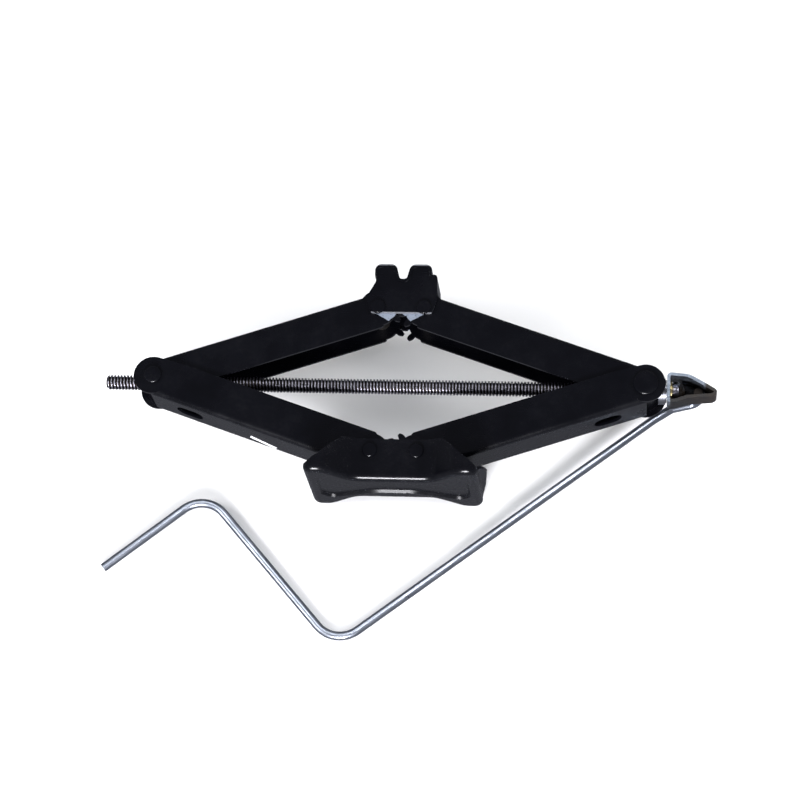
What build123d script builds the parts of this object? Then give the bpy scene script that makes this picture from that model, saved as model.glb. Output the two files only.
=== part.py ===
from build123d import *
from math import acos, atan2, cos, hypot, pi, radians, sin, tan
import os

# ---------------------------------------------------------------- linkage
ARM_PITCH = 215.0       # pin to trunnion
REST_DEG = 19.0         # arm angle from the screw axis as drawn
HALF_PIN = 21.0         # half the spacing of a pair of pins
BASE_PIN_Y = 28.0       # foot pins above the sole
SCREW_Y = BASE_PIN_Y + ARM_PITCH * sin(radians(REST_DEG))
TOP_PIN_Y = 2 * SCREW_Y - BASE_PIN_Y
TRUNNION_X = HALF_PIN + ARM_PITCH * cos(radians(REST_DEG))
PIN_R = 6.0             # all hinge pins
PIN_HOLE_R = 6.08       # running fit in the arm flanges
SHEET = 2.5             # arm, saddle and foot sheet

# ---------------------------------------------------------------- arms
UPPER_HALF = 19.3       # half outer width of an upper channel
UPPER_OUT = 15.0        # pivot line to the outside of its web
UPPER_IN = 19.4         # pivot line to the free flange edge
UPPER_EAR_R = 12.4
LOWER_HALF = 22.1
LOWER_OUT = 16.5
LOWER_IN = 19.0
LOWER_EAR_R = 17.6
BEND_R = 5.0            # outside bend radius
WEB_START = 6.0         # web starts this far past the gear pin
WEB_STOP = 4.5          # and stops this far short of the trunnion
SLOT_LONG = 26.0        # slot in the web of each lower arm
SLOT_WIDE = 17.0
SLOT_BACK = 41.0        # slot centre to trunnion

# ---------------------------------------------------------------- gears
MODULE = 3.5
GEAR_PITCH_R = 21.0
GEAR_BASE_R = GEAR_PITCH_R * cos(radians(20))
GEAR_TIP_R = 24.0
GEAR_ROOT_R = 17.4
TOOTH_THICK = pi * MODULE / 2 - 0.25
TOOTH_STEP = 30.0

# ---------------------------------------------------------------- foot
FOOT_HALF_X = 78.0
FOOT_HALF_Z = 50.5
FOOT_WAIST = 26.6       # outside of the cheeks
FOOT_TOP = 38.6
PANEL_DEPTH = 2.2       # bow-tie panel pressed in from the sole
FOOT_BEND = 6.0

# ---------------------------------------------------------------- saddle
SADDLE_IN = 19.65
SADDLE_OUT = SADDLE_IN + SHEET

# ---------------------------------------------------------------- screw
MAJOR_R = 6.8
MINOR_R = 5.2
LEAD = 3.0
SCREW_LEFT = -270.3
THREAD_RIGHT = 206.0
SHANK_R = 5.9
NUT_BORE_R = 6.88
SHANK_BORE_R = 5.98
BARREL_R = 11.0
BARREL_HALF = 16.5
HEAD_X = 248.0
HEAD_LONG = 6.6
HEAD_R = 6.9

# ---------------------------------------------------------------- crank
EYE_X0 = 243.2
EYE_HALF_Z = 9.4
EYE_SHEET = 2.8
HOOK_X = 271.5
HOOK_Y = SCREW_Y + 0.6
ROD_R = 4.0
ROD_TIP_Z = -2.0


# ================================================================ helpers
def corner_data(corners):
    """Tangent points and arc midpoint of every rounded corner."""
    data = []
    count = len(corners)
    for i in range(count):
        ax, ay = corners[i - 1][0], corners[i - 1][1]
        bx, by, r = corners[i]
        cx, cy = corners[(i + 1) % count][0], corners[(i + 1) % count][1]
        ux, uy = ax - bx, ay - by
        vx, vy = cx - bx, cy - by
        ul, vl = hypot(ux, uy), hypot(vx, vy)
        ux, uy, vx, vy = ux / ul, uy / ul, vx / vl, vy / vl
        dot = max(-1.0, min(1.0, ux * vx + uy * vy))
        half = acos(dot) / 2
        if r <= 0 or half > pi / 2 - 0.002:
            data.append(((bx, by), None, (bx, by)))
            continue
        back = r / tan(half)
        mx, my = ux + vx, uy + vy
        ml = hypot(mx, my)
        reach = r / sin(half)
        near = reach - r
        start = (bx + ux * back, by + uy * back)
        end = (bx + vx * back, by + vy * back)
        mid = (bx + mx / ml * near, by + my / ml * near)
        data.append((start, mid, end))
    return data


def rounded(corners):
    """Closed flat face from corners given as x, y, radius."""
    data = corner_data(corners)
    edges = []
    for i in range(len(data)):
        start, mid, end = data[i]
        last = data[i - 1][2]
        if hypot(start[0] - last[0], start[1] - last[1]) > 1e-5:
            edges.append(Edge.make_line((*last, 0), (*start, 0)))
        if mid:
            edges.append(Edge.make_three_point_arc((*start, 0), (*mid, 0), (*end, 0)))
    return Face(Wire(edges))


def inset(corners, gap):
    """The same outline moved inward, for corners listed anticlockwise."""
    count = len(corners)
    lines = []
    for i in range(count):
        ax, ay = corners[i][0], corners[i][1]
        bx, by = corners[(i + 1) % count][0], corners[(i + 1) % count][1]
        ln = hypot(bx - ax, by - ay)
        dx, dy = (bx - ax) / ln, (by - ay) / ln
        lines.append((ax - dy * gap, ay + dx * gap, dx, dy))
    moved = []
    for i in range(count):
        px, py, dx, dy = lines[i - 1]
        qx, qy, ex, ey = lines[i]
        cross = dx * ey - dy * ex
        r = corners[i][2]
        if abs(cross) < 1e-9:
            moved.append((qx, qy, 0))
            continue
        t = ((qx - px) * ey - (qy - py) * ex) / cross
        turned = r - gap if cross > 0 else r + gap
        moved.append((px + dx * t, py + dy * t, max(turned, 0.4) if r > 0 else 0))
    return moved


def prism(face, z0, z1):
    """Solid between two heights from a face drawn in the XY plane."""
    return Pos(0, 0, z0) * extrude(face, amount=z1 - z0, dir=(0, 0, 1))


def sloped(low, z0, high, z1):
    """Solid with sloping sides between two outlines of the same corners."""
    return loft([Pos(0, 0, z0) * rounded(low), Pos(0, 0, z1) * rounded(high)], ruled=True)


def poly(points):
    """Closed straight-sided face."""
    return rounded([(x, y, 0) for x, y in points])


def rod_z(x, y, r, z0, z1):
    """Round bar parallel to Z."""
    return Pos(x, y, (z0 + z1) / 2) * Cylinder(r, z1 - z0)


def rod_x(r, x0, x1, y=SCREW_Y):
    """Round bar on the screw axis."""
    return Pos((x0 + x1) / 2, y, 0) * Rot(0, 90, 0) * Cylinder(r, x1 - x0)


def block(x0, x1, y0, y1, z0, z1):
    """Box from its six faces."""
    centre = Pos((x0 + x1) / 2, (y0 + y1) / 2, (z0 + z1) / 2)
    return centre * Box(x1 - x0, y1 - y0, z1 - z0)


def stand_up(shape):
    """Turn a solid drawn as plan XY and height Z into plan XZ and height Y."""
    return Rot(-90, 0, 0) * shape


# ================================================================ gears and arms
def involute(angle):
    """Involute function."""
    return tan(angle) - angle


def tooth(centre_deg):
    """One gear tooth outline standing on the root circle."""
    half_pitch = TOOTH_THICK / 2 / GEAR_PITCH_R + involute(radians(20))
    radii = [GEAR_BASE_R, 20.3, 21.0, 21.8, 22.6, 23.3, GEAR_TIP_R]
    side = [(GEAR_ROOT_R - 1.5, half_pitch)]
    for r in radii:
        side.append((r, half_pitch - involute(acos(min(1.0, GEAR_BASE_R / r)))))
    middle = radians(centre_deg)
    points = [(r * cos(middle - a), r * sin(middle - a)) for r, a in side]
    points.append((GEAR_TIP_R * cos(middle), GEAR_TIP_R * sin(middle)))
    points += [(r * cos(middle + a), r * sin(middle + a)) for r, a in reversed(side)]
    return poly(points)


def arm(half, out, inn, ear_r, run_in, shift_deg, slot):
    """Channel arm along +X: gear pin at the origin, web on the -Y side."""
    low = -(out - BEND_R)
    strip = rounded([
        (0, low, 0),
        (ARM_PITCH, low, 0),
        (ARM_PITCH, ear_r, 0),
        (ARM_PITCH - run_in, inn, 12),
        (0, inn, 3.0),
    ])
    flat = prism(strip, 0, SHEET)
    flat += rod_z(ARM_PITCH, 0, ear_r, 0, SHEET)
    flat += rod_z(0, 0, GEAR_ROOT_R, 0, SHEET)
    contact = 180.0 - REST_DEG
    for k in range(-2, 2):
        angle = contact + k * TOOTH_STEP + shift_deg
        if 110.0 < angle < 200.0:
            flat += prism(tooth(angle), 0, SHEET)
    flat -= rod_z(0, 0, PIN_HOLE_R, -1, SHEET + 1)
    flat -= rod_z(ARM_PITCH, 0, PIN_HOLE_R, -1, SHEET + 1)
    inner = half - SHEET
    section = rounded([
        (-out, -half, BEND_R),
        (low + 2, -half, 0),
        (low + 2, -inner, 0),
        (-out + SHEET, -inner, BEND_R - SHEET),
        (-out + SHEET, inner, BEND_R - SHEET),
        (low + 2, inner, 0),
        (low + 2, half, 0),
        (-out, half, BEND_R),
    ])
    long = ARM_PITCH - WEB_STOP - WEB_START
    frame = Plane(origin=(WEB_START, 0, 0), x_dir=(0, 1, 0), z_dir=(1, 0, 0))
    channel = frame * extrude(section, amount=long, dir=(0, 0, 1))
    body = channel + Pos(0, 0, inner) * flat + Pos(0, 0, -half) * flat
    if slot:
        mid = ARM_PITCH - SLOT_BACK
        straight = SLOT_LONG - SLOT_WIDE
        cut = block(mid - straight / 2, mid + straight / 2, -out - 1, -out + 4, -SLOT_WIDE / 2, SLOT_WIDE / 2)
        for side in (-1, 1):
            end = Pos(mid + side * straight / 2, -out + 1.5, 0) * Rot(90, 0, 0) * Cylinder(SLOT_WIDE / 2, 5)
            cut += end
        body -= cut
    return body


def place_lower(shape, left):
    """Put an arm drawn along +X on its foot pin."""
    placed = Pos(HALF_PIN, BASE_PIN_Y, 0) * Rot(0, 0, REST_DEG) * shape
    return mirror(placed, about=Plane.YZ) if left else placed


def place_upper(shape, left):
    """Put an arm on its saddle pin, web to the top."""
    if left:
        return Pos(-HALF_PIN, TOP_PIN_Y, 0) * Rot(0, 0, 180 + REST_DEG) * shape
    flipped = mirror(shape, about=Plane.XZ)
    return Pos(HALF_PIN, TOP_PIN_Y, 0) * Rot(0, 0, -REST_DEG) * flipped


def lower_arm(left):
    """Lower channel; the two differ by half a tooth."""
    shift = 0.0 if left else TOOTH_STEP / 2
    return place_lower(arm(LOWER_HALF, LOWER_OUT, LOWER_IN, LOWER_EAR_R, 22.0, shift, True), left)


def upper_arm(left):
    """Upper channel, nested inside the lower one."""
    shift = 0.0 if left else TOOTH_STEP / 2
    return place_upper(arm(UPPER_HALF, UPPER_OUT, UPPER_IN, UPPER_EAR_R, 42.0, shift, False), left)


def label():
    """Blank sticker, put on askew, on the web of the lower left arm."""
    mid = ARM_PITCH - 113.0
    patch = Pos(mid, -LOWER_OUT - 0.11, -9.8) * Rot(0, -20, 0) * Box(26, 0.18, 5.6)
    return place_lower(patch, True)


# ================================================================ foot
def foot_plan():
    """Dog-bone plan, anticlockwise, before it is stood up."""
    quarter = [
        (34.5, FOOT_WAIST, 18.0),
        (60.0, FOOT_HALF_Z, 20.0),
        (FOOT_HALF_X, FOOT_HALF_Z, 9.0),
    ]
    right_top = list(reversed(quarter))
    left_top = [(-x, z, r) for x, z, r in quarter]
    left_low = [(x, -z, r) for x, z, r in reversed(left_top)]
    right_low = [(x, -z, r) for x, z, r in quarter]
    return right_top + left_top + left_low + right_low


def foot_profile():
    """Side outline that cuts the pressed walls down toward the ends."""
    right = [
        (FOOT_HALF_X + 1, 7.4, 0),
        (FOOT_HALF_X - 2.2, 8.2, 4.0),
        (63.0, 18.5, 16.0),
        (43.5, FOOT_TOP, 14.0),
    ]
    left = [(-x, y, r) for x, y, r in reversed(right)]
    return [(-FOOT_HALF_X - 1, -1, 0), (FOOT_HALF_X + 1, -1, 0)] + right + left


def panel_plan(grow):
    """Bow-tie panel pressed into the sole; grow widens it all round."""
    quarter = [(18.0, 9.0, 30.0), (59.0, 25.5, 7.5)]
    right = [(67.0, 17.5, 6.0)]
    top = [*right, *reversed(quarter), *[(-x, z, r) for x, z, r in quarter], (-67.0, 17.5, 6.0)]
    low = [(x, -z, r) for x, z, r in reversed(top)]
    return inset(top + low, -grow)


def foot():
    """Pressed tray foot with cheeks, sunk panel and flared right end."""
    plan = foot_plan()
    outer = extrude(rounded(plan), amount=FOOT_TOP + 2, dir=(0, 0, 1))
    outer = fillet(outer.edges().group_by(Axis.Z)[0], FOOT_BEND)
    inner = extrude(rounded(inset(plan, SHEET)), amount=FOOT_TOP + 2, dir=(0, 0, 1))
    inner = fillet(inner.edges().group_by(Axis.Z)[0], FOOT_BEND - SHEET)
    tray = outer - Pos(0, 0, SHEET) * inner
    raised = sloped(panel_plan(2.6), SHEET - 0.4, panel_plan(0.9), SHEET + PANEL_DEPTH)
    sunk = sloped(panel_plan(1.6), -0.01, panel_plan(-0.6), PANEL_DEPTH)
    tray = tray + raised - sunk
    tray = stand_up(mirror(tray, about=Plane.XZ))
    trim = prism(rounded(foot_profile()), -FOOT_HALF_Z - 2, FOOT_HALF_Z + 2)
    tray = tray & trim
    tray -= block(FOOT_HALF_X - 3.2, FOOT_HALF_X + 2, 6.3, 40, -44, 44)
    tray += flared_lip()
    for x in (-HALF_PIN, HALF_PIN):
        tray -= rod_z(x, BASE_PIN_Y, PIN_R + 0.02, -60, 60)
    return tray


def flared_lip():
    """Lip turned outward at the right end."""
    base = FOOT_HALF_X
    band = rounded([
        (base - 2.5, 5.4, 0),
        (base, 5.4, 0),
        (base + 0.8, 7.2, 2.0),
        (base + 8.0, 8.6, 0),
        (base + 7.6, 11.0, 0),
        (base - 2.2, 9.2, 4.0),
    ])
    lip = prism(band, -43, 43)
    reach = rounded([
        (base - 6, -43, 0),
        (base - 0.8, -43, 0),
        (base + 4.6, -4, 40.0),
        (base + 7.4, 30, 16.0),
        (base + 3.0, 42.6, 6.0),
        (base - 6, 42.6, 0),
    ])
    return lip & stand_up(mirror(prism(reach, -5, 40), about=Plane.XZ))


def domed_head(r, high):
    """Rivet head standing on Z = 0."""
    head = Cylinder(r, high, align=(Align.CENTER, Align.CENTER, Align.MIN))
    return fillet(head.edges().group_by(Axis.Z)[-1], high * 0.75)


def riveted_pin(x, y, seat, head_r, head_high):
    """Through pin with a formed head at each end."""
    pin = rod_z(x, y, PIN_R, -seat, seat)
    pin += Pos(x, y, seat) * domed_head(head_r, head_high)
    pin += Pos(x, y, -seat) * Rot(180, 0, 0) * domed_head(head_r, head_high)
    return pin


def pair(make):
    """Two copies, left and right of the middle."""
    return Compound(children=[make(-HALF_PIN), make(HALF_PIN)])


def base_rivets():
    """The two foot pins."""
    return pair(lambda x: riveted_pin(x, BASE_PIN_Y, FOOT_WAIST, 6.7, 2.0))


def tube(x, y, r, z0, z1):
    """Spacer sleeve around a pin."""
    return rod_z(x, y, r, z0, z1) - rod_z(x, y, PIN_R + 0.03, z0 - 1, z1 + 1)


def base_spacers():
    """Sleeves between the arm flanges and washers under the cheeks."""
    inside = LOWER_HALF - SHEET - 0.3
    gap0 = LOWER_HALF + 0.25
    gap1 = FOOT_WAIST - SHEET - 0.02
    parts = []
    for x in (-HALF_PIN, HALF_PIN):
        parts.append(tube(x, BASE_PIN_Y, 8.0, -inside, inside))
        parts.append(tube(x, BASE_PIN_Y, 9.5, gap0, gap1))
        parts.append(tube(x, BASE_PIN_Y, 9.5, -gap1, -gap0))
    return Compound(children=parts)


# ================================================================ saddle
def saddle_outline():
    """Cheek outline with two lobes and a notch, anticlockwise."""
    points = [
        (-28.0, 162.2, 4.0),
        (29.0, 162.2, 4.0),
        (33.0, 176.5, 4.0),
        (32.0, 200.2, 2.9),
        (26.6, 200.2, 0.8),
        (26.2, 209.0, 5.2),
        (8.2, 209.0, 5.5),
        (4.6, 194.6, 3.4),
        (-2.9, 194.6, 3.4),
        (-6.6, 209.0, 5.5),
        (-24.8, 209.0, 5.6),
        (-24.2, 192.6, 6.0),
        (-32.4, 177.0, 5.0),
    ]
    return [(x, y - 168.0 + TOP_PIN_Y, r) for x, y, r in points]


def saddle():
    """Pressed head: two cheeks joined over the lobes, notch and right tab."""
    outline = saddle_outline()
    head = prism(rounded(outline), -SADDLE_OUT, SADDLE_OUT)
    head -= prism(rounded(inset(outline, SHEET)), -SADDLE_IN, SADDLE_IN)
    rim = prism(rounded(inset(outline, -0.8)), -SADDLE_OUT - 0.8, SADDLE_OUT + 0.8)
    rim -= prism(rounded(inset(outline, SHEET - 0.4)), -30, 30)
    rim &= block(-60, 26.9, TOP_PIN_Y + 29.5, 300, -40, 40) + block(-12, 12, TOP_PIN_Y + 22, 300, -40, 40)
    head += rim
    low = TOP_PIN_Y + 17.0
    head -= block(-60, 60, 100, low, -SADDLE_IN, SADDLE_IN)
    head -= block(-60, -20, 100, TOP_PIN_Y + 24.0, -SADDLE_IN, SADDLE_IN)
    for x in (-HALF_PIN, HALF_PIN):
        head -= rod_z(x, TOP_PIN_Y, PIN_R + 0.02, -40, 40)
    return head


def saddle_rivets():
    """The two saddle pins."""
    return pair(lambda x: riveted_pin(x, TOP_PIN_Y, SADDLE_OUT, 6.7, 1.8))


def saddle_spacers():
    """Sleeves between the upper arm flanges."""
    inside = UPPER_HALF - SHEET - 0.3
    return pair(lambda x: tube(x, TOP_PIN_Y, 8.0, -inside, inside))


# ================================================================ trunnions and screw
def trunnion(x, bore_r):
    """Cross barrel with two journals and a bore for the screw."""
    body = rod_z(x, SCREW_Y, BARREL_R, -BARREL_HALF, BARREL_HALF)
    body = chamfer(body.edges().filter_by(GeomType.CIRCLE), 0.8)
    body += rod_z(x, SCREW_Y, PIN_R, -LOWER_HALF - 0.3, LOWER_HALF + 0.3)
    return body - rod_x(bore_r, x - 20, x + 20)


def pin_caps(x, r, high):
    """Formed ends that keep a trunnion in the arms."""
    seat = LOWER_HALF + 0.3
    near = Pos(x, SCREW_Y, seat) * domed_head(r, high)
    far = Pos(x, SCREW_Y, -seat) * Rot(180, 0, 0) * domed_head(r, high)
    return Compound(children=[near, far])


def screw():
    """Lead screw: grooved thread, plain shank and formed head."""
    crest, flank, root = 1.1, 0.45, 1.0
    points = [(SCREW_LEFT, 0.0), (SCREW_LEFT, MINOR_R - 0.2)]
    x = SCREW_LEFT + 1.2
    while x + LEAD < THREAD_RIGHT:
        points.append((x, MINOR_R))
        points.append((x + flank, MAJOR_R))
        points.append((x + flank + crest, MAJOR_R))
        points.append((x + 2 * flank + crest, MINOR_R))
        x += 2 * flank + crest + root
    points.append((x, MINOR_R))
    points.append((x + 1.2, SHANK_R))
    points.append((HEAD_X, SHANK_R))
    points.append((HEAD_X, HEAD_R))
    points.append((HEAD_X + HEAD_LONG - 1.6, HEAD_R))
    points.append((HEAD_X + HEAD_LONG, HEAD_R - 1.6))
    points.append((HEAD_X + HEAD_LONG, 0.0))
    face = poly(points)
    return Pos(0, SCREW_Y, 0) * revolve(face, axis=Axis.X, revolution_arc=360)


def bearing_cup():
    """Pressed cup against the thrust trunnion."""
    cup = rod_x(12.0, 235.6, 241.9) - rod_x(10.8, 237.0, 243.0)
    cup -= rod_x(SHANK_R + 0.4, 230, 245)
    return cup


def bearing_balls():
    """Ring of thrust balls."""
    balls = []
    for k in range(12):
        a = radians(30 * k)
        balls.append(Pos(239.15, SCREW_Y + 8.55 * cos(a), 8.55 * sin(a)) * Sphere(2.0))
    return Compound(children=balls)


def bearing_race():
    """Hardened washer over the balls."""
    race = rod_x(10.5, 241.25, 242.9) - rod_x(SHANK_R + 0.08, 230, 250)
    return race


def zinc_washer():
    """Plated washer under the screw head."""
    return rod_x(9.9, 246.2, 247.9) - rod_x(SHANK_R + 0.03, 230, 250)


# ================================================================ crank
def eye_outline():
    """Teardrop eye with a pointed nose, anticlockwise."""
    points = [
        (EYE_X0, -13.2, 2.8),
        (251.0, -12.8, 8.0),
        (262.0, -8.8, 12.0),
        (284.0, -7.0, 6.0),
        (291.2, -2.6, 3.4),
        (279.5, 4.6, 14.0),
        (263.0, 13.8, 18.0),
        (EYE_X0, 15.6, 4.0),
    ]
    return [(x, y + SCREW_Y, r) for x, y, r in points]


def crank_eye():
    """Strap bent to an eye with a back plate that carries the hook."""
    outline = eye_outline()
    strap = prism(rounded(outline), -EYE_HALF_Z, EYE_HALF_Z)
    strap -= prism(rounded(inset(outline, EYE_SHEET)), -20, 20)
    back = prism(rounded(inset(outline, EYE_SHEET - 0.3)), -EYE_HALF_Z, -EYE_HALF_Z + 2.0)
    back -= block(240, 256.5, 60, 140, -20, 20)
    eye = strap + back
    eye -= rod_x(SHANK_R + 0.03, 235, 250)
    eye -= rod_z(HOOK_X, HOOK_Y, ROD_R + 0.08, -20, -5)
    return eye


def handle():
    """Bent round rod with a hook pin at one end and an offset grip."""
    y0 = SCREW_Y
    start = Vector(231.0, y0 - 16.0, -33.4)
    low = Vector(-51.0, y0 - 233.0, -46.5)
    middle = start + (low - start) * 0.5
    first = FilletPolyline(
        (HOOK_X, HOOK_Y, ROD_TIP_Z),
        (HOOK_X, HOOK_Y, -31.8),
        (247.5, y0 - 5.2, -32.4),
        start,
        middle,
        radius=8.0,
    )
    second = FilletPolyline(
        middle,
        low,
        (-178.0, y0 - 91.0, -43.5),
        (-269.0, y0 - 164.5, -46.5),
        radius=27.0,
    )
    path = Wire([*first.edges(), *second.edges()])
    section = Plane(origin=(HOOK_X, HOOK_Y, ROD_TIP_Z), z_dir=(0, 0, -1)) * Circle(ROD_R)
    rod = sweep(section, path=path)
    return rod


# ================================================================ export
def build():
    """Every node by name."""
    return {
        "base_foot": foot(),
        "base_rivets": base_rivets(),
        "base_spacers": base_spacers(),
        "lower_arm_left": lower_arm(True),
        "lower_arm_right": lower_arm(False),
        "upper_arm_left": upper_arm(True),
        "upper_arm_right": upper_arm(False),
        "saddle_head": saddle(),
        "saddle_rivets": saddle_rivets(),
        "saddle_spacers": saddle_spacers(),
        "nut_trunnion": trunnion(-TRUNNION_X, NUT_BORE_R),
        "nut_pin_caps": pin_caps(-TRUNNION_X, 8.2, 2.9),
        "thrust_trunnion": trunnion(TRUNNION_X, SHANK_BORE_R),
        "thrust_pin_caps": pin_caps(TRUNNION_X, 11.5, 2.6),
        "lead_screw": screw(),
        "bearing_cup": bearing_cup(),
        "bearing_balls": bearing_balls(),
        "bearing_race": bearing_race(),
        "zinc_washer": zinc_washer(),
        "crank_eye": crank_eye(),
        "crank_handle": handle(),
        "label_sticker": label(),
    }


os.makedirs("parts", exist_ok=True)
for node, shape in build().items():
    export_step(shape, "parts/" + node + ".step")
    box = shape.bounding_box()
    print(node, round(shape.volume), [round(v, 1) for v in (*box.min, *box.max)])
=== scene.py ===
import bpy
import bmesh
from math import cos, radians, sin, tau
from mathutils import Matrix, Vector, noise


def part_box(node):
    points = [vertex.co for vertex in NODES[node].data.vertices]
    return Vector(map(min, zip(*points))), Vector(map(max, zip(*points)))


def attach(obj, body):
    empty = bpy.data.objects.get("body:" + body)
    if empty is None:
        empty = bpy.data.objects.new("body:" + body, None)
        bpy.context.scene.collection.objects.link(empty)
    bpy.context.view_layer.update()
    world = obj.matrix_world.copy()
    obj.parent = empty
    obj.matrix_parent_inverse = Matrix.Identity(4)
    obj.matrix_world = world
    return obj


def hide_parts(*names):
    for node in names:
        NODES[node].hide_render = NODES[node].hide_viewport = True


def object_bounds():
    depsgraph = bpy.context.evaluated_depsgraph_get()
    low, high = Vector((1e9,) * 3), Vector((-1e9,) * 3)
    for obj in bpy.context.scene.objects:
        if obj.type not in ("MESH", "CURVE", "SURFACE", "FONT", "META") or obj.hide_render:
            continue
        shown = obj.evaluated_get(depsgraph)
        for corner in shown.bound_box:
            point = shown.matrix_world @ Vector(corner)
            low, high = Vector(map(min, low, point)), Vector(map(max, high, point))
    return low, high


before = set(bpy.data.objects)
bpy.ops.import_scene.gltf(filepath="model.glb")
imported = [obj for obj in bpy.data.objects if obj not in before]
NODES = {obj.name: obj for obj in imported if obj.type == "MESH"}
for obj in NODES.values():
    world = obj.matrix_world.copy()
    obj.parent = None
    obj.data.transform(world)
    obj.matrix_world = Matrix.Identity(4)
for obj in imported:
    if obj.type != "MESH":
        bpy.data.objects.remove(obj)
CAD_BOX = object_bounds()

# ---------------------------------------------------------------- sizes in metres
MM = 0.001
SCREW_Y = sum(c[1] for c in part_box("lead_screw")) / 2
SCREW_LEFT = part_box("lead_screw")[0][0]
SCREW_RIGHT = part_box("lead_screw")[1][0]
MAJOR_R = 6.8 * MM
MINOR_R = 5.15 * MM
SHANK_R = 5.9 * MM
LEAD = 3.0 * MM
THREAD_RIGHT = 206.0 * MM
HEAD_LONG = 6.6 * MM
CHEEK_OUT = 22.4 * MM
ARM_FACE_Z = 17.5 * MM
RIM_Z = 16.8 * MM
HOOK_LEFT = 262.0 * MM
NOSE_X = 275.5 * MM

# ---------------------------------------------------------------- camera
TOWARD_CAMERA = (0.0971, -0.3349, 0.9372)
CAMERA_RIGHT = (0.995, 0.049, -0.086)
CAMERA_TARGET = (0.00135, 0.0855, 0.0)
CAMERA_DISTANCE = 2.5
CAMERA_LENS = 123.5

# ---------------------------------------------------------------- colours
PAINT = (0.0013, 0.0014, 0.0024)
FOOT_PAINT = (0.0016, 0.0017, 0.0027)
PAINT_DUST = (0.05, 0.048, 0.046)
# Rubbed steel colour; on the saddle's lobe crowns the same colour is a painted highlight.
RUBBED_AND_SHEEN = (0.3, 0.31, 0.34)
RUBBED_BRIGHT = (0.36, 0.41, 0.5)
COOL = (0.95, 0.97, 1.0)


# ================================================================ camera
def make_camera():
    """Steep view from the foot side, rolled a little."""
    toward = Vector(TOWARD_CAMERA).normalized()
    right = Vector(CAMERA_RIGHT)
    right = (right - right.dot(toward) * toward).normalized()
    up = toward.cross(right)
    data = bpy.data.cameras.new("camera")
    data.lens = CAMERA_LENS
    data.sensor_width = 36.0
    data.clip_end = 20.0
    cam = bpy.data.objects.new("camera", data)
    bpy.context.scene.collection.objects.link(cam)
    place = Matrix((right, up, toward)).transposed().to_4x4()
    place.translation = Vector(CAMERA_TARGET) + toward * CAMERA_DISTANCE
    cam.matrix_world = place
    bpy.context.scene.camera = cam
    return cam


# ================================================================ node helpers
def new_material(name):
    """Material with only a Principled shader; returns it with its tree and shader."""
    mat = bpy.data.materials.new(name)
    mat.use_nodes = True
    tree = mat.node_tree
    shader = tree.nodes["Principled BSDF"]
    return mat, tree, shader


def coords(tree, stretch=(1, 1, 1)):
    """Object-space coordinates, optionally stretched."""
    tex = tree.nodes.new("ShaderNodeTexCoord")
    if stretch == (1, 1, 1):
        return tex.outputs["Object"]
    mapping = tree.nodes.new("ShaderNodeMapping")
    mapping.inputs["Scale"].default_value = stretch
    tree.links.new(tex.outputs["Object"], mapping.inputs["Vector"])
    return mapping.outputs["Vector"]


def grain(tree, scale, detail=4.0, rough=0.55, stretch=(1, 1, 1)):
    """Noise value between 0 and 1."""
    made = tree.nodes.new("ShaderNodeTexNoise")
    made.inputs["Scale"].default_value = scale
    made.inputs["Detail"].default_value = detail
    made.inputs["Roughness"].default_value = rough
    tree.links.new(coords(tree, stretch), made.inputs["Vector"])
    return made.outputs["Fac"]


def span(tree, value, low, high, out_low=0.0, out_high=1.0):
    """Clamped linear map."""
    made = tree.nodes.new("ShaderNodeMapRange")
    made.inputs["From Min"].default_value = low
    made.inputs["From Max"].default_value = high
    made.inputs["To Min"].default_value = out_low
    made.inputs["To Max"].default_value = out_high
    tree.links.new(value, made.inputs["Value"])
    return made.outputs["Result"]


def maths(tree, op, a, b, clamp=True):
    """One math node; either side may be a number."""
    made = tree.nodes.new("ShaderNodeMath")
    made.operation = op
    made.use_clamp = clamp
    for i, side in enumerate((a, b)):
        if isinstance(side, (int, float)):
            made.inputs[i].default_value = side
        else:
            tree.links.new(side, made.inputs[i])
    return made.outputs[0]


def maths_free(tree, op, a, b):
    """Math node without clamping."""
    return maths(tree, op, a, b, False)


def far_from_mid(tree, low, high):
    """Clamped map of the distance from the middle plane of the jack."""
    return span(tree, maths_free(tree, "ABSOLUTE", position(tree)["Z"], 0.0), low, high)


def blend_colour(tree, fac, a, b):
    """Mix of two colours; either may be a socket."""
    made = tree.nodes.new("ShaderNodeMix")
    made.data_type = "RGBA"
    tree.links.new(fac, made.inputs["Factor"])
    for key, side in ((6, a), (7, b)):
        if isinstance(side, tuple):
            made.inputs[key].default_value = (*side, 1.0)
        else:
            tree.links.new(side, made.inputs[key])
    return made.outputs[2]


def bump(tree, height, strength, distance, after=None):
    """Bump node; returns its normal."""
    made = tree.nodes.new("ShaderNodeBump")
    made.inputs["Strength"].default_value = strength
    made.inputs["Distance"].default_value = distance
    tree.links.new(height, made.inputs["Height"])
    if after is not None:
        tree.links.new(after, made.inputs["Normal"])
    return made.outputs["Normal"]


def edge_mask(tree, radius, low, high):
    """1 on sharp edges, 0 on flats."""
    bevel = tree.nodes.new("ShaderNodeBevel")
    bevel.samples = 4
    bevel.inputs["Radius"].default_value = radius
    geo = tree.nodes.new("ShaderNodeNewGeometry")
    dot = tree.nodes.new("ShaderNodeVectorMath")
    dot.operation = "DOT_PRODUCT"
    tree.links.new(bevel.outputs["Normal"], dot.inputs[0])
    tree.links.new(geo.outputs["Normal"], dot.inputs[1])
    return span(tree, dot.outputs["Value"], high, low)


# ================================================================ materials
def position(tree):
    """Separate object coordinates."""
    sep = tree.nodes.new("ShaderNodeSeparateXYZ")
    tree.links.new(coords(tree), sep.inputs[0])
    return sep.outputs


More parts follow.
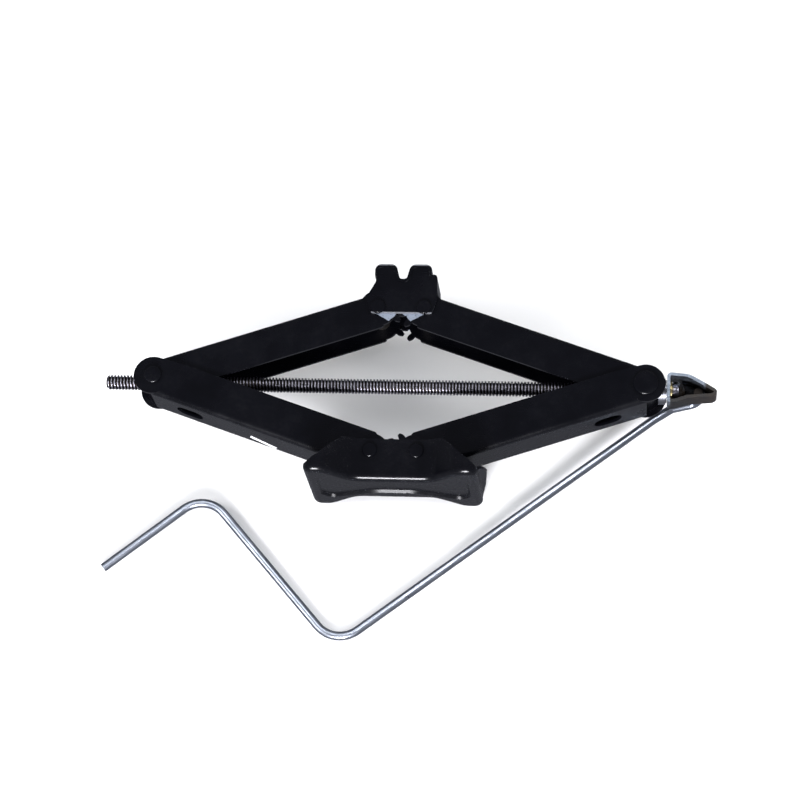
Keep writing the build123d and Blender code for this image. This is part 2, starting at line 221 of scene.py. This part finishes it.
def wedge(tree, left, right, tip, deep):
    """1 in a triangle that hangs below the saddle's lower edge, on the outer faces of the arms."""
    sep = position(tree)
    down = maths_free(tree, "SUBTRACT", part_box("saddle_head")[0][1], sep["Y"])
    jitter = span(tree, grain(tree, 240.0, 4.0, 0.6), 0.3, 0.7, -0.0006, 0.0006)
    x = maths_free(tree, "ADD", sep["X"], jitter)
    from_left = maths_free(tree, "SUBTRACT", x, maths_free(tree, "MULTIPLY", down, (tip - left) / deep))
    from_right = maths_free(tree, "ADD", x, maths_free(tree, "MULTIPLY", down, (right - tip) / deep))
    inside = maths(tree, "MULTIPLY", span(tree, from_left, left, left + 0.0003),
                   span(tree, from_right, right, right - 0.0003))
    outer = far_from_mid(tree, ARM_FACE_Z, ARM_FACE_Z + 0.0005)
    below = span(tree, down, -0.0012, -0.0006)
    return maths(tree, "MULTIPLY", maths(tree, "MULTIPLY", inside, outer), below)


def rubbed_wedges(tree):
    """The two patches of rubbed steel below the saddle."""
    return maths(tree, "MAXIMUM", wedge(tree, -0.0235, -0.0038, -0.0105, 0.0072),
                 wedge(tree, 0.0018, 0.0218, 0.0092, 0.0072))


def black_paint(name, wear=0.15, base=PAINT, dust=0.08, rough=(0.2, 0.36), rub_and_sheen_mask=None, rub_and_sheen_tone=RUBBED_AND_SHEEN):
    """Gloss black paint with orange peel, faint dust and rubbed edges; an extra mask adds rubbed steel,
    which on the saddle also paints a highlight on the lobe crowns.
    """
    mat, tree, shader = new_material(name)
    cloud = grain(tree, 28.0, 5.0, 0.6)
    fine = grain(tree, 340.0, 4.0, 0.6)
    scratch = grain(tree, 60.0, 6.0, 0.75, (1.0, 14.0, 6.0))
    dusty = maths(tree, "MULTIPLY", span(tree, cloud, 0.45, 0.75), span(tree, fine, 0.4, 0.75))
    tone = blend_colour(tree, span(tree, cloud, 0.3, 0.7), base, tuple(c * 1.8 for c in base))
    tone = blend_colour(tree, maths(tree, "MULTIPLY", dusty, dust), tone, PAINT_DUST)
    edge = edge_mask(tree, 0.0006, 0.86, 0.985)
    patchy = span(tree, grain(tree, 150.0, 5.0, 0.7), 0.52, 0.7)
    worn_and_sheen = maths(tree, "MULTIPLY", maths(tree, "MULTIPLY", edge, patchy), wear)
    if rub_and_sheen_mask is not None:
        patch = span(tree, grain(tree, 260.0, 5.0, 0.7), 0.3, 0.42)
        worn_and_sheen = maths(tree, "MAXIMUM", worn_and_sheen, maths(tree, "MULTIPLY", rub_and_sheen_mask(tree), patch))
    # Rubbed colour over worn edges and the extra mask; on the saddle's lobe crowns this is a painted
    # highlight.
    tone = blend_colour(tree, worn_and_sheen, tone, rub_and_sheen_tone)
    tree.links.new(tone, shader.inputs["Base Color"])
    tree.links.new(span(tree, worn_and_sheen, 0.35, 0.8, 0.0, 0.4), shader.inputs["Metallic"])
    gloss = maths(tree, "ADD", span(tree, cloud, 0.3, 0.75, rough[0], rough[1]),
                  span(tree, scratch, 0.55, 0.8, 0.0, 0.12))
    tree.links.new(gloss, shader.inputs["Roughness"])
    peel = bump(tree, grain(tree, 420.0, 2.0, 0.5), 0.08, 0.0003)
    marks = bump(tree, scratch, 0.05, 0.0002, peel)
    tree.links.new(marks, shader.inputs["Normal"])
    shader.inputs["IOR"].default_value = 1.48
    return mat


def saddle_rub_and_sheen(tree):
    """Rubbed lower edge of the cheeks, and outer rims of the lobe crowns, which are rubbed and also
    lightened as a painted highlight.
    """
    low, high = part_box("saddle_head")
    y = position(tree)["Y"]
    under = span(tree, y, low[1] + 0.0009, low[1] + 0.0004)
    # Lobe crowns: rubbed steel colour on the top outer rims, partly wear and partly a painted highlight.
    crown_wear_and_sheen = maths(tree, "MULTIPLY", span(tree, y, high[1] - 0.0016, high[1] - 0.0004),
                  far_from_mid(tree, RIM_Z, RIM_Z + 0.0014))
    return maths(tree, "MAXIMUM", under, crown_wear_and_sheen)


def eye_strap():
    """Bluish strap steel, near-black brown below the screw's height, on the inner face of the top strap and
    at the nose.
    """
    mat, tree, shader = new_material("strap_steel")
    sep = position(tree)
    cloud = grain(tree, 50.0, 5.0, 0.65)
    fine = grain(tree, 420.0, 3.0, 0.6)
    drift_y = maths_free(tree, "ADD", sep["Y"], span(tree, cloud, 0.0, 1.0, -0.003, 0.003))
    high = span(tree, drift_y, SCREW_Y - 0.002, SCREW_Y + 0.004)
    drift_x = maths_free(tree, "ADD", sep["X"], span(tree, cloud, 0.0, 1.0, -0.002, 0.002))
    steel_part = maths(tree, "MULTIPLY", high, span(tree, drift_x, NOSE_X + 0.003, NOSE_X))
    plate = span(tree, sep["X"], 0.2465, 0.2455)
    steel_part = maths(tree, "MAXIMUM", steel_part, plate)
    inside = edge_free_inside(tree)
    steel_part = maths(tree, "MULTIPLY", steel_part, inside)
    steel = blend_colour(tree, span(tree, fine, 0.3, 0.75), (0.3, 0.345, 0.41), (0.15, 0.17, 0.205))
    black = blend_colour(tree, span(tree, cloud, 0.4, 0.7), (0.004, 0.004, 0.0045),
                         (0.022, 0.017, 0.013))
    tree.links.new(blend_colour(tree, steel_part, black, steel), shader.inputs["Base Color"])
    tree.links.new(span(tree, steel_part, 0.3, 0.8, 0.1, 0.95), shader.inputs["Metallic"])
    tree.links.new(span(tree, cloud, 0.3, 0.7, 0.25, 0.5), shader.inputs["Roughness"])
    tree.links.new(bump(tree, grain(tree, 180.0, 4.0, 0.6), 0.3, 0.0005), shader.inputs["Normal"])
    return mat


def edge_free_inside(tree):
    """0 deep on the inner face of the top strap, 1 outside and toward its near rim."""
    geo = tree.nodes.new("ShaderNodeNewGeometry")
    sep = tree.nodes.new("ShaderNodeSeparateXYZ")
    tree.links.new(geo.outputs["Normal"], sep.inputs[0])
    rim = span(tree, sep.outputs["Y"], -0.75, -0.45)
    drift = span(tree, grain(tree, 130.0, 4.0, 0.6), 0.3, 0.7, -0.003, 0.003)
    near = span(tree, maths_free(tree, "ADD", position(tree)["Z"], drift), -0.001, 0.003)
    return maths(tree, "MAXIMUM", rim, near)


def metal(name, base, dark, rough, scale=120.0, dirt=0.5, brown=(0.06, 0.045, 0.03), edge_light=0.3,
          grease_and_shade_mask=None):
    """Bare or plated steel: tone variation, grime, fine marks, bright edges."""
    mat, tree, shader = new_material(name)
    cloud = grain(tree, scale * 0.4, 5.0, 0.6)
    fine = grain(tree, scale * 4.0, 3.0, 0.65)
    grime = maths(tree, "MULTIPLY", span(tree, grain(tree, scale, 5.0, 0.7), 0.48, 0.72), dirt)
    tone = blend_colour(tree, span(tree, cloud, 0.3, 0.72), base, dark)
    tone = blend_colour(tree, span(tree, fine, 0.45, 0.75, 0.0, 0.5), tone, dark)
    tone = blend_colour(tree, grime, tone, brown)
    edge = maths(tree, "MULTIPLY", edge_mask(tree, 0.0004, 0.85, 0.985), edge_light)
    tone = blend_colour(tree, edge, tone, tuple(min(1.0, c * 1.5 + 0.06) for c in base))
    if grease_and_shade_mask is not None:
        # Near-black on the hook inside the eye: grease and painted shade.
        tone = blend_colour(tree, grease_and_shade_mask(tree), tone, (0.012, 0.01, 0.009))
    tree.links.new(tone, shader.inputs["Base Color"])
    shader.inputs["Metallic"].default_value = 1.0
    gloss = maths(tree, "ADD", span(tree, cloud, 0.3, 0.7, rough[0], rough[1]),
                  maths(tree, "MULTIPLY", grime, 0.35))
    tree.links.new(gloss, shader.inputs["Roughness"])
    tree.links.new(bump(tree, fine, 0.25, 0.0003), shader.inputs["Normal"])
    return mat


def hook_grease_and_shade(tree):
    """1 on the part of the rod's hook that turns inside the eye; that part is painted near-black, grease and
    painted shade together.
    """
    sep = position(tree)
    return maths(tree, "MULTIPLY", span(tree, sep["X"], HOOK_LEFT, HOOK_LEFT + 0.002),
                 span(tree, sep["Z"], -0.0115, -0.0095))


def thread_metal():
    """Rolled thread: dark brown roots, bright crests."""
    mat, tree, shader = new_material("thread_steel")
    sep = position(tree)
    flat = tree.nodes.new("ShaderNodeCombineXYZ")
    tree.links.new(maths_free(tree, "SUBTRACT", sep["Y"], SCREW_Y), flat.inputs["Y"])
    tree.links.new(sep["Z"], flat.inputs["Z"])
    size = tree.nodes.new("ShaderNodeVectorMath")
    size.operation = "LENGTH"
    tree.links.new(flat.outputs[0], size.inputs[0])
    crest = span(tree, size.outputs["Value"], 0.00600, 0.00672)
    cloud = grain(tree, 45.0, 5.0, 0.6)
    fine = grain(tree, 700.0, 3.0, 0.6)
    root = blend_colour(tree, span(tree, cloud, 0.35, 0.7), (0.02, 0.016, 0.015), (0.05, 0.04, 0.035))
    top = blend_colour(tree, span(tree, fine, 0.35, 0.7), (0.42, 0.41, 0.47), (0.32, 0.31, 0.36))
    clear = maths(tree, "MULTIPLY", crest, span(tree, cloud, 0.2, 0.5, 0.75, 1.0))
    tone = blend_colour(tree, clear, root, top)
    tree.links.new(tone, shader.inputs["Base Color"])
    shader.inputs["Metallic"].default_value = 1.0
    tree.links.new(span(tree, crest, 0.0, 1.0, 0.5, 0.32), shader.inputs["Roughness"])
    tree.links.new(bump(tree, fine, 0.06, 0.0001), shader.inputs["Normal"])
    return mat


def paper():
    """Plain white label, faintly soiled."""
    mat, tree, shader = new_material("label_white")
    cloud = grain(tree, 160.0, 5.0, 0.6)
    tone = blend_colour(tree, span(tree, cloud, 0.45, 0.75), (0.86, 0.87, 0.89), (0.62, 0.62, 0.62))
    tree.links.new(tone, shader.inputs["Base Color"])
    tree.links.new(span(tree, cloud, 0.3, 0.7, 0.35, 0.55), shader.inputs["Roughness"])
    tree.links.new(bump(tree, grain(tree, 900.0, 3.0, 0.6), 0.1, 0.0001), shader.inputs["Normal"])
    return mat


def dress(material, *names):
    """Give CAD nodes this material in every slot."""
    for name in names:
        obj = NODES[name]
        if not obj.material_slots:
            obj.data.materials.append(material)
        for entry in obj.material_slots:
            entry.material = material


# ================================================================ mesh helpers
def mesh_object(name, bm, material, body, smooth_deg=35.0):
    """Object from a bmesh, riding on a body."""
    bmesh.ops.recalc_face_normals(bm, faces=bm.faces)
    data = bpy.data.meshes.new(name)
    bm.to_mesh(data)
    bm.free()
    data.materials.append(material)
    data.set_sharp_from_angle(angle=radians(smooth_deg))
    for face in data.polygons:
        face.use_smooth = True
    obj = bpy.data.objects.new(name, data)
    bpy.context.scene.collection.objects.link(obj)
    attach(obj, body)
    return obj


def lathe(bm, profile, axis_point, axis, across, steps=64, wobble=None):
    """Turn a profile of (along, radius) about an axis."""
    axis = Vector(axis)
    across = Vector(across)
    third = axis.cross(across)
    rings = []
    for along, radius in profile:
        ring = []
        for k in range(steps):
            a = tau * k / steps
            point = Vector(axis_point) + axis * along + (across * cos(a) + third * sin(a)) * radius
            if wobble:
                point = wobble(point, along, radius, a)
            ring.append(bm.verts.new(point))
        rings.append(ring)
    for low, high in zip(rings, rings[1:]):
        for k in range(steps):
            n = (k + 1) % steps
            bm.faces.new((low[k], low[n], high[n], high[k]))
    bm.faces.new(rings[0])
    bm.faces.new(rings[-1])


# ================================================================ screw
def helical_screw(material):
    """Real helix over the threaded length, plain shank and formed head."""
    bm = bmesh.new()
    per_turn = 40
    crest, flank = 1.1 * MM, 0.45 * MM
    start = SCREW_LEFT - LEAD
    top = flank + crest
    profile = [(0.0, MINOR_R), (0.12 * MM, MINOR_R + 0.16 * MM), (flank - 0.06 * MM, MAJOR_R - 0.14 * MM),
               (flank + 0.08 * MM, MAJOR_R), (top - 0.08 * MM, MAJOR_R),
               (top + 0.06 * MM, MAJOR_R - 0.14 * MM), (top + flank - 0.12 * MM, MINOR_R + 0.16 * MM),
               (top + flank, MINOR_R), (LEAD, MINOR_R)]
    turns = int((THREAD_RIGHT - start) / LEAD)
    rows = []
    for j in range(turns * per_turn + 1):
        a = tau * j / per_turn
        row = []
        for u, r in profile:
            x = start + LEAD * j / per_turn + u
            end_fade = max(0.0, min(1.0, (THREAD_RIGHT - x) / (LEAD * 1.2)))
            r = MINOR_R + (r - MINOR_R) * end_fade
            if x < SCREW_LEFT:
                x = SCREW_LEFT
            r = min(r, MINOR_R - 0.2 * MM + (x - SCREW_LEFT) * 1.1)
            row.append(bm.verts.new((x, SCREW_Y + r * cos(a), r * sin(a))))
        rows.append(row)
    for low, high in zip(rows, rows[1:]):
        for k in range(len(profile) - 1):
            bm.faces.new((low[k], high[k], high[k + 1], low[k + 1]))
    bmesh.ops.remove_doubles(bm, verts=bm.verts, dist=0.4e-6)
    bmesh.ops.dissolve_degenerate(bm, edges=bm.edges, dist=0.2e-6)
    end_r = MINOR_R - 0.2 * MM
    tip = [(0.0, end_r * 0.25), (0.0, end_r * 0.9), (0.0, end_r + 0.02 * MM),
           (0.6 * MM, end_r + 0.02 * MM)]
    lathe(bm, tip, (SCREW_LEFT, SCREW_Y, 0), (1, 0, 0), (0, 1, 0), 40)
    head = SCREW_RIGHT - HEAD_LONG
    shank = [(THREAD_RIGHT - 3.4 * MM, MINOR_R - 0.05 * MM), (THREAD_RIGHT - 1.0 * MM, MINOR_R + 0.02 * MM),
             (THREAD_RIGHT + 0.2 * MM, SHANK_R), (head, SHANK_R)]
    formed = [(0.0, 6.6), (0.4, 6.9), (4.8, 6.9), (5.9, 6.2), (6.4, 5.0), (6.5, 3.6), (6.1, 3.0), (5.8, 1.0)]
    shank += [(head + along * MM, radius * MM) for along, radius in formed]
    lathe(bm, shank, (0, SCREW_Y, 0), (1, 0, 0), (0, 1, 0), 56)
    obj = mesh_object("screw_helix", bm, material, "screw", 50.0)
    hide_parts("lead_screw")
    return obj


# ================================================================ pin heads
def head_pieces(name, node, body, material, hammered):
    """Peened trunnion heads with a softened rim and hammer flats."""
    low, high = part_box(node)
    centre = ((low[0] + high[0]) / 2, (low[1] + high[1]) / 2)
    r = (high[0] - low[0]) / 2
    seat = CHEEK_OUT
    tall = high[2] - seat
    bm = bmesh.new()

    def wobble(point, along, radius, a):
        push = noise.noise(point * 320.0) * hammered * (0.2 if radius > r * 0.97 else 1.0)
        scale = 1.0 - abs(noise.noise(point * 210.0)) * hammered * 45.0
        flat = Vector((centre[0], centre[1], point.z))
        point = flat + (point - flat) * scale
        point.z -= abs(push) * (1 if point.z > 0 else -1) * (1.0 if along > 0.4 * tall else 0.0)
        return point

    shape = [(0.0, 0.94), (0.0, 1.0), (0.25, 1.0), (0.45, 0.985), (0.68, 0.94), (0.85, 0.86), (0.95, 0.74),
             (1.0, 0.55), (0.99, 0.38), (0.95, 0.3), (0.9, 0.12)]
    profile = [(tall * along, r * radius) for along, radius in shape]
    for way in (1, -1):
        lathe(bm, profile, (centre[0], centre[1], way * seat), (0, 0, way), (1, 0, 0), 72, wobble)
    obj = mesh_object(name, bm, material, body, 60.0)
    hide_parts(node)
    return obj


def dark_lump(name, material, middle, radii, lean, uneven):
    """Dark lump inside the eye, flat against the eye's plate; packed grease, and in the eye's nose also
    painted shade over the floor behind.
    """
    bm = bmesh.new()
    bmesh.ops.create_icosphere(bm, subdivisions=4, radius=1.0)
    plate = SCREW_RIGHT - 8.3 * MM
    for vert in bm.verts:
        way = vert.co.normalized()
        lump = 1.0 + uneven * (noise.noise(way * 2.1) + 0.4 * noise.noise(way * 6.3))
        step = Vector([w * r for w, r in zip(way, radii)]) * MM * lump
        step.y += lean * step.x
        vert.co = Vector(middle) + step
        vert.co.x = max(vert.co.x, plate)
    return mesh_object(name, bm, material, "screw", 80.0)


def grease():
    """Dark brown bearing grease with dust in it; on the lump in the eye's nose it is also painted shade."""
    mat, tree, shader = new_material("grease_and_shade_paint")
    cloud = grain(tree, 90.0, 5.0, 0.6)
    tone = blend_colour(tree, span(tree, cloud, 0.35, 0.7), (0.004, 0.0035, 0.003), (0.016, 0.012, 0.009))
    tree.links.new(tone, shader.inputs["Base Color"])
    tree.links.new(span(tree, cloud, 0.3, 0.7, 0.22, 0.5), shader.inputs["Roughness"])
    tree.links.new(bump(tree, grain(tree, 260.0, 5.0, 0.6), 0.5, 0.0006), shader.inputs["Normal"])
    return mat


# ================================================================ stage
def make_floor():
    """Pale floor under the jack; glossy paint doesn't mirror it."""
    size = 4.0
    z = CAD_BOX[0][2] - 0.0002
    bm = bmesh.new()
    grid = [[bm.verts.new((size * i, size * j, z)) for j in (-1, 1)] for i in (-1, 1)]
    bm.faces.new((grid[0][0], grid[1][0], grid[1][1], grid[0][1]))
    data = bpy.data.meshes.new("floor")
    bm.to_mesh(data)
    bm.free()
    mat, tree, shader = new_material("floor_pale")
    cloud = grain(tree, 3.0, 3.0, 0.5)
    tone = blend_colour(tree, span(tree, cloud, 0.3, 0.7), (0.9, 0.9, 0.9), (0.88, 0.88, 0.885))
    tree.links.new(tone, shader.inputs["Base Color"])
    shader.inputs["Roughness"].default_value = 0.9
    shader.inputs["Specular IOR Level"].default_value = 0.1
    data.materials.append(mat)
    obj = bpy.data.objects.new("floor", data)
    bpy.context.scene.collection.objects.link(obj)
    obj.visible_glossy = False
    return obj


def softbox(name, place, aim, size, power, tint=(1, 1, 1)):
    """Area light aimed at a point."""
    data = bpy.data.lights.new(name, "AREA")
    data.shape = "RECTANGLE"
    data.size, data.size_y = size
    data.energy = power
    data.color = tint
    obj = bpy.data.objects.new(name, data)
    obj.location = place
    look = (Vector(aim) - Vector(place)).normalized()
    obj.rotation_euler = look.to_track_quat("-Z", "Y").to_euler()
    obj.visible_camera = False
    bpy.context.scene.collection.objects.link(obj)
    return obj


def make_light(floor, screw):
    """Dim dome, wide lamps that leave no glint, and lamps that each make one glint."""
    world = bpy.data.worlds.new("dome")
    world.use_nodes = True
    back = world.node_tree.nodes["Background"]
    back.inputs["Color"].default_value = (0.86, 0.88, 1.0, 1.0)
    place = world.node_tree.nodes.new("ShaderNodeTexCoord")
    split = world.node_tree.nodes.new("ShaderNodeSeparateXYZ")
    world.node_tree.links.new(place.outputs["Generated"], split.inputs[0])
    glow = span(world.node_tree, split.outputs["Z"], -0.2, 0.1, 0.24, 0.115)
    world.node_tree.links.new(glow, back.inputs["Strength"])
    bpy.context.scene.world = world
    bpy.context.scene.view_settings.view_transform = "Standard"
    softbox("key_front", (-0.25, -2.5, 1.25), (0, 0, 0), (1.0, 0.5), 105.0, (0.95, 0.95, 1.0))
    wide = (("wide_front", (-0.4, -2.4, 1.5), 50.0), ("wide_left", (-2.7, 0.1, 1.5), 75.0),
            ("wide_right", (2.7, 0.3, 1.4), 75.0), ("wide_back", (0.3, 2.6, 0.9), 35.0))
    for name, place, power in wide:
        softbox(name, place, (0, 0, 0), (1.8, 0.9), power).visible_glossy = False
    metals = [NODES[name] for name in ("crank_handle", "crank_eye", "bearing_cup", "bearing_race",
                                       "bearing_balls", "zinc_washer")]
    linked("shiny", [*metals, screw], ("glint_left", (-2.2, -0.9, 1.6), (1.2, 0.8), 34.0),
           ("glint_right", (2.4, 0.9, 1.6), (1.2, 0.8), 34.0),
           ("glint_top", (-0.25, 0.95, 2.4), (1.3, 0.8), 14.0))
    linked("rod", [NODES["crank_handle"]], ("glint_rod", (0.43, 0.0, 2.46), (0.9, 0.9), 22.0))
    linked("ground", [floor], ("floor_wash", (0.1, 0.2, 3.0), (2.5, 2.5), 45.0))


def linked(name, members, *lamps):
    """Lamps that light only the members."""
    group = bpy.data.collections.new(name)
    for obj in members:
        group.objects.link(obj)
    for label, place, size, power in lamps:
        lamp = softbox(label, place, (0, 0, 0), size, power, COOL)
        lamp.light_linking.receiver_collection = group


# ================================================================ assembly
make_camera()
paint_upper = black_paint("paint_upper", wear=0.04, rub_and_sheen_mask=rubbed_wedges, rub_and_sheen_tone=RUBBED_BRIGHT)
paint_lower = black_paint("paint_lower", wear=0.1)
paint_foot = black_paint("paint_foot", wear=0.3, base=FOOT_PAINT, dust=0.12, rough=(0.2, 0.32))
paint_saddle = black_paint("paint_saddle", wear=0.35, rough=(0.2, 0.34), rub_and_sheen_mask=saddle_rub_and_sheen)
paint_pin = black_paint("paint_pin", wear=0.03, rough=(0.16, 0.3))
dull = metal("sleeve_steel", (0.2, 0.19, 0.18), (0.08, 0.075, 0.07), (0.35, 0.55))
bright = metal("cup_steel", (0.42, 0.43, 0.47), (0.24, 0.245, 0.27), (0.24, 0.4), 200.0, 0.3)
ball = metal("ball_steel", (0.7, 0.7, 0.72), (0.5, 0.5, 0.52), (0.1, 0.2), 300.0, 0.2)
zinc = metal("yellow_zinc", (0.62, 0.5, 0.24), (0.4, 0.34, 0.2), (0.25, 0.42), 160.0, 0.35)
strap = eye_strap()
rod = metal("rod_zinc", (0.53, 0.57, 0.66), (0.36, 0.39, 0.45), (0.26, 0.4), 130.0, 0.25, (0.2, 0.19, 0.18),
            edge_light=0.0, grease_and_shade_mask=hook_grease_and_shade)
dress(paint_upper, "upper_arm_left", "upper_arm_right")
dress(paint_lower, "lower_arm_left", "lower_arm_right")
dress(paint_foot, "base_foot")
dress(paint_saddle, "saddle_head")
dress(paint_pin, "base_rivets", "saddle_rivets", "nut_trunnion", "thrust_trunnion", "nut_pin_caps",
      "thrust_pin_caps")
dress(dull, "base_spacers", "saddle_spacers")
dress(bright, "bearing_cup", "bearing_race")
dress(ball, "bearing_balls")
dress(zinc, "zinc_washer")
dress(strap, "crank_eye")
dress(rod, "crank_handle")
dress(paper(), "label_sticker")
screw_piece = helical_screw(thread_metal())
grease_and_shade_paint = grease()
dark_lump("head_grease", grease_and_shade_paint, (SCREW_RIGHT - 3.0 * MM, SCREW_Y + 0.8 * MM, -1.6 * MM),
            (7.4, 8.8, 6.2), 0.0, 0.22)
# Lump in the eye's nose: painted shade that closes the see-through to the floor, drawn as packed grease.
dark_lump("eye_grease_and_shade", grease_and_shade_paint, (SCREW_RIGHT + 10.4 * MM, SCREW_Y + 2.5 * MM, -6.8 * MM),
            (12.5, 6.5, 2.0), -0.35, 0.1)
make_light(make_floor(), screw_piece)
head_pieces("nut_heads", "nut_pin_caps", "nut", paint_pin, 0.0005)
head_pieces("thrust_heads", "thrust_pin_caps", "thrust", paint_pin, 0.00008)
